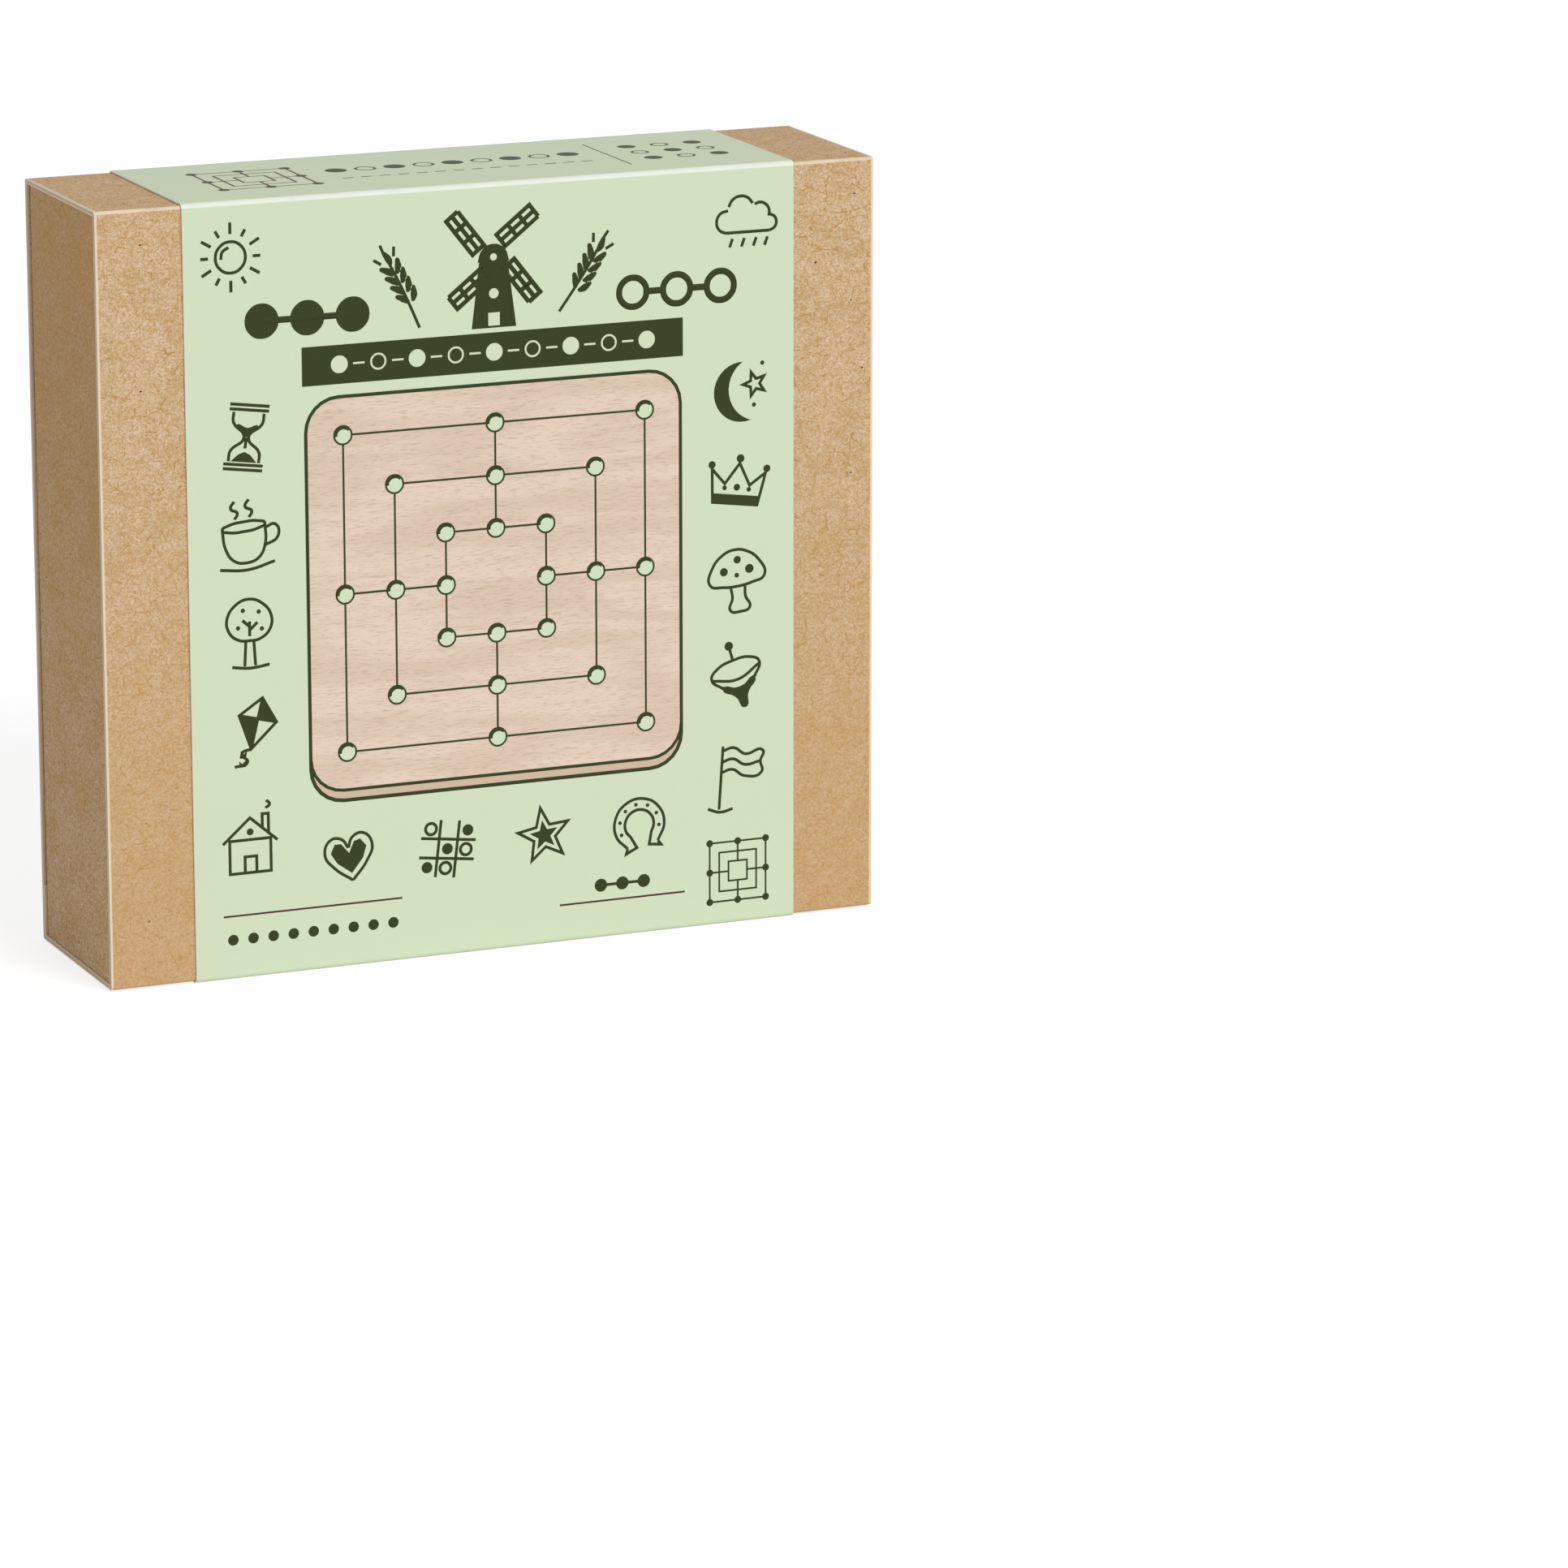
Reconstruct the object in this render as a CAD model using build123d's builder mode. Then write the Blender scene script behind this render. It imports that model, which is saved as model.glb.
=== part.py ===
from build123d import *
import os

# A nine mens morris game in its box. Millimetres, +Z up, front face towards -Y.
# The origin is the middle of the footprint that the closed box stands on.

# ---- the closed box, over its printed band
box_width = 252.0
box_depth = 68.0
box_height = 240.0

# ---- stock that the pieces are folded from
kraft = 1.5  # thin corrugated kraft board
card = 0.45  # printed card of the band
insert_card = 1.0
leaflet_paper = 0.25

# ---- folds and fits
crease = 1.2  # outer radius of a folded edge of kraft board, which is sharp inside
band_gap = 0.15  # between the band and the shell
drawer_gap = 0.25  # between the drawer and the shell, all round
end_inset = 0.5  # the drawer's ends lie this far inside the shell's
crushed_kraft = 0.8  # a glue tab, rolled flat so that it takes less room
shell_tab = 16.0
tray_tab = 18.0
tray_tab_taper = 4.0

# ---- printed band
band_width = 198.0
band_lap = 15.0  # where its two ends are glued over each other, behind
band_lap_ramp = 6.0

# ---- game board
board_side = 230.0
board_thickness = 8.0
board_corner = 20.0
board_front_bevel = 1.2
board_back_bevel = 0.6
pitch = 31.0  # between neighbouring points of the game
groove_width = 1.8
groove_depth = 0.9
hole_radius = 5.3
hole_wall = 3.4  # the straight part of a hole
hole_depth = 6.0  # to the lowest point of its hollowed floor

# ---- pegs
peg_radius = 5.0
peg_length = 16.0
seat_gap = 0.03

# ---- room inside
headroom = 6.0  # from the pegs' ends to the front panel
board_rest_gap = 0.05
well_gap = 0.4  # between the board and the insert, at each side
insert_side_gap = 0.2
insert_end_gap = 0.5
insert_crease = 1.0
finger_notch = 26.0  # long, and as deep as the board is thick
finger_notch_round = 4.0

# ---- rules leaflet, folded in a zigzag
leaflet_width = 105.0
leaflet_height = 148.0
leaflet_panels = 3
leaflet_layer = 0.5
leaflet_inset = 6.0  # from the insert's middle rib

# ---- where each layer lies, from the outside in
band_front = -box_depth / 2
band_back = box_depth / 2 - card  # the lapped seam stands one thickness behind this
shell_front = band_front + card + band_gap
shell_back = band_back - card - band_gap
shell_bottom = card + band_gap
shell_top = box_height - shell_bottom
shell_front_inner = shell_front + kraft
shell_back_inner = shell_back - kraft
shell_bottom_inner = shell_bottom + kraft
shell_top_inner = shell_top - kraft

tray_end = box_width / 2 - end_inset
tray_front = shell_front_inner + drawer_gap
tray_back = shell_back_inner - crushed_kraft - drawer_gap
tray_bottom = shell_bottom_inner + drawer_gap
tray_top = shell_top_inner - drawer_gap
tray_end_inner = tray_end - kraft
tray_floor = tray_back - kraft
tray_bottom_inner = tray_bottom + kraft
tray_top_inner = tray_top - kraft
tray_middle = (tray_bottom + tray_top) / 2
tray_height = tray_top - tray_bottom

# The rim of a peg's end comes to rest on the slope of its hole's floor, just inside the wall.
floor_slope = (hole_depth - hole_wall) / hole_radius
peg_seat = hole_wall + (hole_radius - peg_radius) * floor_slope - seat_gap
peg_stand = peg_length - peg_seat

peg_tip = shell_front_inner + headroom
board_face = peg_tip + peg_stand
board_back = board_face + board_thickness
board_bottom = tray_bottom_inner + board_rest_gap
board_middle = board_bottom + board_side / 2

squares = (3, 2, 1)  # the three nested squares, by their reach from the middle in pitches
compass = ((-1, 1), (0, 1), (1, 1), (1, 0), (1, -1), (0, -1), (-1, -1), (-1, 0))

# A game under way: each peg by its square and its step round it, from the top left clockwise.
red_pegs = ((3, 0), (3, 1), (2, 2), (1, 1), (3, 7), (1, 7), (2, 0), (1, 5), (3, 4))
black_pegs = ((3, 2), (2, 1), (1, 2), (1, 3), (2, 7), (1, 6), (2, 4), (3, 5), (3, 6))


def facing_front(y):
    """A plane that faces the front of the box, at depth y, with its own y along the box's height."""
    return Plane.XZ.offset(-y)


def game_point(square, step):
    """Where a point of the game lies on the board's face, from the middle of the box's width."""
    across, up = compass[step]
    return (across * square * pitch, board_middle + up * square * pitch)


def crease_notch(corner, towards):
    """The hollow left where a panel folds inwards beside a cut edge: a square less the fold's curve."""
    x, y = corner
    side_x, side_y = towards
    with Locations((x + side_x * crease / 2, y + side_y * crease / 2)):
        Rectangle(crease, crease)
    with Locations((x + side_x * crease, y + side_y * crease)):
        Circle(crease, mode=Mode.SUBTRACT)


def finish(part, name):
    part.label = name
    export_step(part, f"parts/{name}.step")


os.makedirs("parts", exist_ok=True)

# ---- outer shell: four panels folded round, open at both ends, with a glue tab inside the back
shell_middle = (shell_front + shell_back) / 2
shell_depth = shell_back - shell_front
shell_height = shell_top - shell_bottom
shell_room = (shell_depth - 2 * kraft, shell_height - 2 * kraft)

with BuildPart() as outer_shell:
    with BuildSketch(Plane.YZ):
        with Locations((shell_middle, box_height / 2)):
            RectangleRounded(shell_depth, shell_height, crease)
            Rectangle(*shell_room, mode=Mode.SUBTRACT)
        with Locations((shell_back_inner - crushed_kraft / 2, shell_bottom_inner + shell_tab / 2)):
            Rectangle(crushed_kraft, shell_tab)
    extrude(amount=box_width / 2, both=True)
    with BuildSketch(Plane.YZ):
        crease_notch((shell_back_inner, shell_bottom), (-1, 1))
    extrude(amount=box_width / 2, both=True, mode=Mode.SUBTRACT)
finish(outer_shell.part, "outer_shell")

# ---- printed band: a ring of card, its outer end glued over its inner end at the foot of the back
band_middle = (band_front + band_back) / 2
band_depth = band_back - band_front
band_inner_crease = crease + band_gap
band_crease = band_inner_crease + card
band_room = (band_depth - 2 * card, box_height - 2 * card)

with BuildPart() as sleeve:
    with BuildSketch(Plane.YZ):
        with Locations((band_middle, box_height / 2)):
            RectangleRounded(band_depth, box_height, band_crease)
            RectangleRounded(*band_room, band_inner_crease, mode=Mode.SUBTRACT)
        with BuildLine():
            Polyline(
                (band_back - card / 2, band_crease),
                (band_back + card, band_crease),
                (band_back + card, band_crease + band_lap),
                (band_back, band_crease + band_lap + band_lap_ramp),
                (band_back - card / 2, band_crease + band_lap + band_lap_ramp),
                close=True,
            )
        make_face()
    extrude(amount=band_width / 2, both=True)
finish(sleeve.part, "sleeve")

# ---- tray: a drawer folded from one sheet, with its corner tabs glued inside the end walls
with BuildPart() as tray:
    with BuildSketch(facing_front(tray_back)):
        with Locations((0, tray_middle)):
            Rectangle(2 * tray_end, tray_height)
    extrude(amount=tray_back - tray_front)
    floor_folds = tray.faces().sort_by(Axis.Y)[-1].edges()
    fillet(floor_folds, crease)
    with BuildSketch(facing_front(tray_floor)):
        with Locations((0, tray_middle)):
            Rectangle(2 * tray_end_inner, tray_height - 2 * kraft)
    extrude(amount=tray_floor - tray_front, mode=Mode.SUBTRACT)
    # the fold of each corner tab, beside the cut edge of the end wall
    with BuildSketch(facing_front(tray_floor)):
        for side in (-1, 1):
            crease_notch((side * tray_end_inner, tray_bottom), (-side, 1))
            crease_notch((side * tray_end_inner, tray_top), (-side, -1))
    extrude(amount=tray_floor - tray_front, mode=Mode.SUBTRACT)
    # the tabs themselves, tapered towards their free end
    for side in (-1, 1):
        with BuildSketch(Plane.YZ.offset(side * tray_end_inner)):
            for wall, inwards in ((tray_bottom_inner, 1), (tray_top_inner, -1)):
                tab_end = wall + inwards * tray_tab
                with BuildLine():
                    Polyline(
                        (tray_front, wall),
                        (tray_front + tray_tab_taper, tab_end),
                        (tray_floor - tray_tab_taper, tab_end),
                        (tray_floor, wall),
                        close=True,
                    )
                make_face()
        extrude(amount=-side * crushed_kraft)
finish(tray.part, "tray")

# ---- insert: one folded card, a platform for the board with a rim at each side and a rib in the middle
insert_end = tray_end_inner - crushed_kraft - insert_side_gap
well_wall = board_side / 2 + well_gap + insert_card / 2
rim_leg = insert_end - insert_card / 2
deck_level = board_back + insert_card / 2
rim_level = board_face + insert_card / 2
rib_end = tray_floor - insert_card
insert_height = tray_height - 2 * kraft - insert_end_gap

with BuildPart() as insert:
    with BuildSketch(Plane.XY.offset(tray_bottom_inner)):
        with BuildLine():
            FilletPolyline(
                (insert_card / 2, rib_end),
                (insert_card / 2, deck_level),
                (well_wall, deck_level),
                (well_wall, rim_level),
                (rim_leg, rim_level),
                (rim_leg, tray_floor),
                radius=insert_crease,
            )
        trace(line_width=insert_card)
        mirror(about=Plane.YZ)
        with Locations((0, rib_end)):
            Circle(insert_card)
    extrude(amount=insert_height)
    # a notch across each rim, down to the deck, lets a finger reach the board's edge
    with BuildSketch(Plane.YZ):
        with Locations((board_face, board_middle)):
            RectangleRounded(2 * board_thickness, finger_notch, finger_notch_round)
    extrude(amount=insert_end, both=True, mode=Mode.SUBTRACT)
finish(insert.part, "insert")

# ---- rules leaflet: one strip of paper folded in a zigzag, standing behind the platform
leaflet_fold = leaflet_layer / 2
leaflet_right = -insert_card - leaflet_inset
leaflet_left = leaflet_right - leaflet_width
first_layer = tray_floor - leaflet_paper / 2

with BuildPart() as rules_leaflet:
    with BuildSketch(Plane.XY.offset(tray_bottom_inner)):
        with BuildLine():
            for panel in range(leaflet_panels):
                level = first_layer - panel * leaflet_layer
                Line((leaflet_left, level), (leaflet_right, level))
                if panel < leaflet_panels - 1:
                    folds_right = panel % 2 == 0
                    turn_x = leaflet_right if folds_right else leaflet_left
                    bulge = leaflet_fold if folds_right else -leaflet_fold
                    middle = level - leaflet_fold
                    next_level = level - leaflet_layer
                    ThreePointArc((turn_x, level), (turn_x + bulge, middle), (turn_x, next_level))
        trace(line_width=leaflet_paper)
    extrude(amount=leaflet_height)
finish(rules_leaflet.part, "rules_leaflet")

# ---- game board: birch plywood with hollow-floored holes and shallow lines between them
game_points = [game_point(square, step) for square in squares for step in range(len(compass))]

with BuildPart() as hole:
    with BuildSketch():
        with BuildLine():
            Polyline((0, 0), (hole_radius, 0), (hole_radius, hole_wall), (0, hole_depth), close=True)
        make_face()
    revolve(axis=Axis.Y)

with BuildPart() as board:
    with BuildSketch(facing_front(board_back)):
        with Locations((0, board_middle)):
            RectangleRounded(board_side, board_side, board_corner)
    extrude(amount=board_thickness)
    front_rim = board.faces().sort_by(Axis.Y)[0].edges()
    chamfer(front_rim, board_front_bevel)
    back_rim = board.faces().sort_by(Axis.Y)[-1].edges()
    chamfer(back_rim, board_back_bevel)
    with Locations(*[(x, board_face, z) for x, z in game_points]):
        add(hole.part, mode=Mode.SUBTRACT)
    with BuildSketch(facing_front(board_face)):
        with Locations((0, board_middle)):
            for square in squares:
                side = 2 * square * pitch
                Rectangle(side + groove_width, side + groove_width)
                Rectangle(side - groove_width, side - groove_width, mode=Mode.SUBTRACT)
            with PolarLocations(2 * pitch, 4):
                Rectangle(2 * pitch, groove_width)
    extrude(amount=-groove_depth, mode=Mode.SUBTRACT)
finish(board.part, "board")

# ---- pegs: turned dowels, all alike, each in a hole of its own
for colour, places in (("red", red_pegs), ("black", black_pegs)):
    for number, (square, step) in enumerate(places, start=1):
        x, z = game_point(square, step)
        with BuildPart() as peg:
            with BuildSketch(facing_front(board_face + peg_seat)):
                with Locations((x, z)):
                    Circle(peg_radius)
            extrude(amount=peg_length)
        finish(peg.part, f"{colour}_peg_{number}")
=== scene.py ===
from math import cos, pi, radians, sin
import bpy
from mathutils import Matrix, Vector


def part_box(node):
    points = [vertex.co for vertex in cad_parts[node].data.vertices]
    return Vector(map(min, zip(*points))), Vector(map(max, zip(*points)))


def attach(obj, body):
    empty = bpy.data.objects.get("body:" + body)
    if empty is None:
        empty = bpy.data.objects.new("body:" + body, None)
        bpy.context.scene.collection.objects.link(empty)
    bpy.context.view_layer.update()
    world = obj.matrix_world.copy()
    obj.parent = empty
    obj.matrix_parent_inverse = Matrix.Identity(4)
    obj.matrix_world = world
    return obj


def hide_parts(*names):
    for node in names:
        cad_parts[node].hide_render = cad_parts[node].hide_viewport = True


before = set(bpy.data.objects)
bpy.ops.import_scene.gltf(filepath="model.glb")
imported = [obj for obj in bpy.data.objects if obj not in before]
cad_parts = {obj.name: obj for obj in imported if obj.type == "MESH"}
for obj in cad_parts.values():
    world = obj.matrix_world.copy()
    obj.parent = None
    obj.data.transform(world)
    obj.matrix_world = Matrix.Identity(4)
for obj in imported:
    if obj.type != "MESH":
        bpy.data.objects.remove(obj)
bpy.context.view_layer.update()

from types import SimpleNamespace

import bpy
from mathutils import Matrix, Vector

# Looks of a nine mens morris box: a kraft board drawer box with a printed card band round it, and in its
# drawer the plywood board with its pegs. Lengths are in metres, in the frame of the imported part.

MM = 0.001
hair = 0.001 * MM            # how far apart two points may be and still count as one

# ---- where the pieces of the part are ----
band_low, band_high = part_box("sleeve")
shell_low, shell_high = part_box("outer_shell")
drawer_low, drawer_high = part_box("tray")
board_low, board_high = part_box("board")
board_middle = (board_low + board_high) / 2

# ---- kraft board ----
kraft_thickness = 1.5 * MM
flute_pitch = 2.3 * MM
flute_swing = 0.3 * MM
bottom_shade_reach = 200 * MM    # painted shade: the outer box is darker towards the bottom, up to here

# ---- playing board ----
board_corner = 20 * MM
board_rim = 1.4 * MM
square_step = 31 * MM        # from one square of the game to the next, and from the middle to the first
groove_width = 1.8 * MM
groove_depth = 0.9 * MM
recess_radius = 5.3 * MM
recess_wall = 3.4 * MM       # straight part of a recess, above its round floor
recess_depth = 6.0 * MM
recess_rim = 0.3 * MM
ply_thickness = 1.33 * MM
compass = ((-1, 1), (0, 1), (1, 1), (1, 0), (1, -1), (0, -1), (-1, -1), (-1, 0))
corners, sides = (0, 2, 4, 6), (1, 3, 5, 7)

# ---- print: pens, and how far the ink stands above the card ----
pen = 0.95 * MM
thin_pen = 0.6 * MM
shape_height = 0.010 * MM    # filled shapes
over_height = 0.017 * MM     # pale shapes over dark ones
line_height = 0.024 * MM     # drawn lines
floor_height = 1.4 * line_height
shade_height = 1.7 * line_height
rim_height = 1.8 * line_height
opening_height = 3 * line_height

# ---- camera, as the box stands in the photograph ----
view_turn = radians(23.48)
view_tilt = radians(14.15)
view_distance = 2.359
view_target = Vector((0.0958, -0.034, 0.0432))
lens_length = 173.1
sensor_width = 36

# ---- light and floor ----
towards_light = Vector((0.27, -0.80, 0.53))
key_strength = 1.7
key_softness = radians(28)
studio_strength = 0.47       # what the world gives the object. The camera sees it at 1, which is white
floor_size = 14
floor_bounce = (0.86, 0.86, 0.86, 1)
floor_shade = (0.4, 0.4, 0.4, 1)
floor_glow = 0.74
white = (1, 1, 1, 1)


# ==== small helpers ====
def deselect():
    bpy.ops.object.select_all(action="DESELECT")


def make_active(piece):
    deselect()
    piece.select_set(True)
    bpy.context.view_layer.objects.active = piece


def apply_place(piece):
    make_active(piece)
    bpy.ops.object.transform_apply(location=True, rotation=True, scale=True)


def join_pieces(pieces, name):
    make_active(pieces[0])
    for piece in pieces[1:]:
        piece.select_set(True)
    if len(pieces) > 1:
        bpy.ops.object.join()
    joined = bpy.context.object
    joined.name = joined.data.name = name
    return joined


def give_material(piece, material):
    piece.data.materials.clear()
    piece.data.materials.append(material)


def add_modifier(piece, kind, **settings):
    modifier = piece.modifiers.new(kind.lower(), kind)
    for setting, value in settings.items():
        setattr(modifier, setting, value)
    return modifier.name


def apply_modifier(piece, kind, **settings):
    make_active(piece)
    bpy.ops.object.modifier_apply(modifier=add_modifier(piece, kind, **settings))


def edit_selected(piece, kind, test):
    """Enters edit mode with the vertices or edges selected whose points pass the test."""
    make_active(piece)
    bpy.context.tool_settings.mesh_select_mode = (kind == "VERT", kind == "EDGE", False)
    mesh = piece.data
    for part in (*mesh.vertices, *mesh.edges, *mesh.polygons):
        part.select = False
    if kind == "VERT":
        for vertex in mesh.vertices:
            vertex.select = test(vertex.co)
    else:
        for edge in mesh.edges:
            edge.select = test(*(mesh.vertices[end].co for end in edge.vertices))
    bpy.ops.object.mode_set(mode="EDIT")


def leave_edit():
    bpy.ops.object.mode_set(mode="OBJECT")


def screen_colour(red, green, blue):
    """A colour written as 0-255 screen values, as the linear values that shaders take."""
    def linear(value):
        share = value / 255
        return share / 12.92 if share <= 0.04045 else ((share + 0.055) / 1.055) ** 2.4
    return linear(red), linear(green), linear(blue), 1.0


def tones(**screen_values):
    """Named colours, such as kraft.pink from kraft = tones(pink=(225, 203, 173))."""
    return SimpleNamespace(**{name: screen_colour(*values) for name, values in screen_values.items()})


# ==== shader helpers ====
def is_socket(value):
    return isinstance(value, bpy.types.NodeSocket)


def plug(value, socket):
    """Gives a socket a value: a link from another socket, or a plain number, vector or colour."""
    if is_socket(value):
        socket.id_data.links.new(value, socket)
    else:
        socket.default_value = value


def add_node(kind, inputs, **settings):
    """A node in the tree of the sockets that feed it."""
    tree = next(value.id_data for value in inputs.values() if is_socket(value))
    node = tree.nodes.new(kind)
    for setting, value in settings.items():
        setattr(node, setting, value)
    for socket, value in inputs.items():
        plug(value, node.inputs[socket])
    return node


def calculate(operation, *values):
    return add_node("ShaderNodeMath", dict(enumerate(values)), operation=operation).outputs[0]


def size_of(value):
    return calculate("ABSOLUTE", value)


def product(total, *factors):
    for factor in factors:
        total = calculate("MULTIPLY", total, factor)
    return total


def ramp(value, start, end, low=0.0, high=1.0):
    """Goes smoothly from low to high while value goes from start to end."""
    inputs = {"Value": value, "From Min": start, "From Max": end, "To Min": low, "To Max": high}
    return add_node("ShaderNodeMapRange", inputs, interpolation_type="SMOOTHSTEP").outputs["Result"]


def blend(share, first, second):
    """The first colour where share is 0, the second where it is 1."""
    node = add_node("ShaderNodeMix", {"Factor": share}, data_type="RGBA")
    sockets = {socket.identifier: socket for socket in (*node.inputs, *node.outputs)}
    plug(first, sockets["A_Color"])
    plug(second, sockets["B_Color"])
    return sockets["Result_Color"]


def noise(place, size, detail=2.0, roughness=0.5):
    """Soft random values with spots about as large as size."""
    inputs = {"Vector": place, "Scale": 1 / size, "Detail": detail, "Roughness": roughness}
    return add_node("ShaderNodeTexNoise", inputs).outputs["Fac"]


def moved(place, shift=(0, 0, 0), scale=(1, 1, 1), turn=(0, 0, 0)):
    inputs = {"Vector": place, "Location": shift, "Rotation": turn, "Scale": scale}
    return add_node("ShaderNodeMapping", inputs).outputs["Vector"]


def axes(vector):
    return add_node("ShaderNodeSeparateXYZ", {"Vector": vector}).outputs


def bump(height, strength, distance):
    inputs = {"Height": height, "Strength": strength, "Distance": distance}
    return add_node("ShaderNodeBump", inputs).outputs["Normal"]


def new_group(name, kind, inputs, masks):
    """A shader node group. Its inputs are all of one kind, and what it gives are masks."""
    tree = bpy.data.node_groups.new(name, "ShaderNodeTree")
    for socket in inputs:
        tree.interface.new_socket(socket, in_out="INPUT", socket_type="NodeSocket" + kind)
    for socket in masks:
        tree.interface.new_socket(socket, in_out="OUTPUT", socket_type="NodeSocketFloat")
    return tree, tree.nodes.new("NodeGroupInput").outputs, tree.nodes.new("NodeGroupOutput").inputs


def use_group(group, **inputs):
    """Places a group in a material. Its inputs are written in small letters, with _ for a space."""
    named = {socket.replace("_", " ").capitalize(): value for socket, value in inputs.items()}
    return add_node("ShaderNodeGroup", named, node_tree=group).outputs


def new_material(name):
    """A material, and the object's own coordinates and normal in it."""
    material = bpy.data.materials.new(name)
    material.use_nodes = True
    coordinates = material.node_tree.nodes.new("ShaderNodeTexCoord").outputs
    return material, coordinates["Object"], coordinates["Normal"]


def finish_material(material, colour, roughness, gloss, relief=None):
    surface = material.node_tree.nodes["Principled BSDF"].inputs
    plug(colour, surface["Base Color"])
    plug(roughness, surface["Roughness"])
    surface["Specular IOR Level"].default_value = gloss
    if relief:
        plug(relief, surface["Normal"])
    return material


# ==== effects that several materials share ====
leaning = 0.71               # a normal's part along an axis, from which on a face counts as facing that way
fibre_stretch = (0.85, 1, 1)
speck_spacing = 11 * MM

# Size of the cells that the fibres run round, width of a fibre, how curled they are, how much of them is left
# out, and two places of the pattern.
long_fibres = (6 * MM, 0.25 * MM, 1.2, 0.46, (1, 2, 0), (8, 4, 0))
short_fibres = (3.2 * MM, 0.22 * MM, 1.5, 0.46, (2, 5, 0), (6, 1, 0))
pale_fibres = (2 * MM, 0.2 * MM, 1.5, 0.45, (7, 3, 0), (5, 6, 0))
strands = (1.3 * MM, 0.22 * MM, 1.7, 0.4, (4, 9, 0), (3, 8, 0))

# Each drift of tone: its name, its place in the pattern, its size, detail and roughness.
pulp_clouds = (("Clouds", (0, 0, 0), 4 * MM, 4.0, 0.75), ("Drift", (6, 4, 0), 15 * MM, 3.0, 0.65),
               ("Warmth", (3, 7, 0), 1.3 * MM, 2.0, 0.6), ("Grain", (9, 1, 0), 0.4 * MM, 1.0, 0.5))


def curled_fibres(sheet, size, width, bend, left_out, *shifts):
    """Thin lines along the walls of bent cells, broken into short lengths of uneven strength."""
    total = None
    for shift in shifts:
        start = moved(sheet, shift, fibre_stretch)
        push = add_node("ShaderNodeTexNoise", {"Vector": start, "Scale": 0.8 / size, "Detail": 1.0})
        bent = add_node("ShaderNodeVectorMath",
                        {0: push.outputs["Color"], 1: (bend * size,) * 3, 2: start},
                        operation="MULTIPLY_ADD").outputs[0]
        walls = add_node("ShaderNodeTexVoronoi", {"Vector": bent, "Scale": 1 / size},
                         voronoi_dimensions="2D", feature="DISTANCE_TO_EDGE").outputs["Distance"]
        line = ramp(walls, 0.1 * width / size, width / size, 1.0, 0.0)
        breaks = noise(moved(start, shift), size * 0.7, 1.0)
        length = ramp(breaks, left_out, left_out + 0.06)
        uneven = noise(moved(start, shift[::-1]), size * 0.3, 1.0)
        strength = ramp(uneven, 0.35, 0.6, 0.35)
        line = product(line, length, strength)
        total = line if total is None else calculate("MAXIMUM", total, line)
    return total


def make_felted_fibres():
    """Recycled paper pulp: curled fibres over cloudy patches, with spots and dark specks."""
    tree, given, result = new_group(
        "felted fibres", "Vector", ["Place", "Normal"],
        ["Dark fibres", "Pale fibres", "Strands", "Clouds", "Drift", "Warmth", "Grain", "Spots", "Specks"])
    x, y, z = axes(given["Place"])
    facing = axes(given["Normal"])
    on_side, on_top = (calculate("GREATER_THAN", size_of(facing[axis]), leaning) for axis in (0, 2))
    sheet = add_node("ShaderNodeCombineXYZ", {
        "X": calculate("MULTIPLY_ADD", calculate("SUBTRACT", y, x), on_side, x),
        "Y": calculate("MULTIPLY_ADD", calculate("SUBTRACT", y, z), on_top, z)}).outputs[0]

    dark = calculate("MAXIMUM", curled_fibres(sheet, *long_fibres),
                     product(curled_fibres(sheet, *short_fibres), 0.7))
    plug(dark, result["Dark fibres"])
    plug(curled_fibres(sheet, *pale_fibres), result["Pale fibres"])
    plug(curled_fibres(sheet, *strands), result["Strands"])
    for mask, shift, size, detail, roughness in pulp_clouds:
        plug(noise(moved(sheet, shift), size, detail, roughness), result[mask])
    spots = noise(moved(sheet, (5, 2, 0)), 1.5 * MM, 3.0, 0.65)
    plug(ramp(spots, 0.64, 0.74), result["Spots"])
    cells = add_node("ShaderNodeTexVoronoi",
                     {"Vector": moved(sheet, scale=(0.8, 1, 1)), "Scale": 1 / speck_spacing},
                     voronoi_dimensions="2D")
    chance = axes(cells.outputs["Color"])
    dot_size = ramp(chance[1], 0.5, 1.0, 0.018, 0.044)
    dot = ramp(calculate("DIVIDE", cells.outputs["Distance"], dot_size), 0.6, 1.0, 1.0, 0.0)
    chosen = ramp(chance[0], 0.45, 0.65)
    plug(product(dot, chosen), result["Specks"])
    return tree


def make_cut_board():
    """The cut edge of thin corrugated board: two pale liners and the wavy sheet between them."""
    tree, given, result = new_group("cut corrugated board", "Float", ["Depth", "Along"], ["Liner", "Wave"])
    from_middle = size_of(calculate("SUBTRACT", given["Depth"], kraft_thickness / 2))
    plug(ramp(from_middle, 0.34 * MM, 0.44 * MM), result["Liner"])
    angle = product(given["Along"], 2 * pi / flute_pitch)
    swing = product(calculate("SINE", angle), flute_swing)
    centre = calculate("ADD", swing, kraft_thickness / 2)
    off_wave = size_of(calculate("SUBTRACT", given["Depth"], centre))
    plug(ramp(off_wave, 0.1 * MM, 0.2 * MM, 1.0, 0.0), result["Wave"])
    return tree


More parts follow.
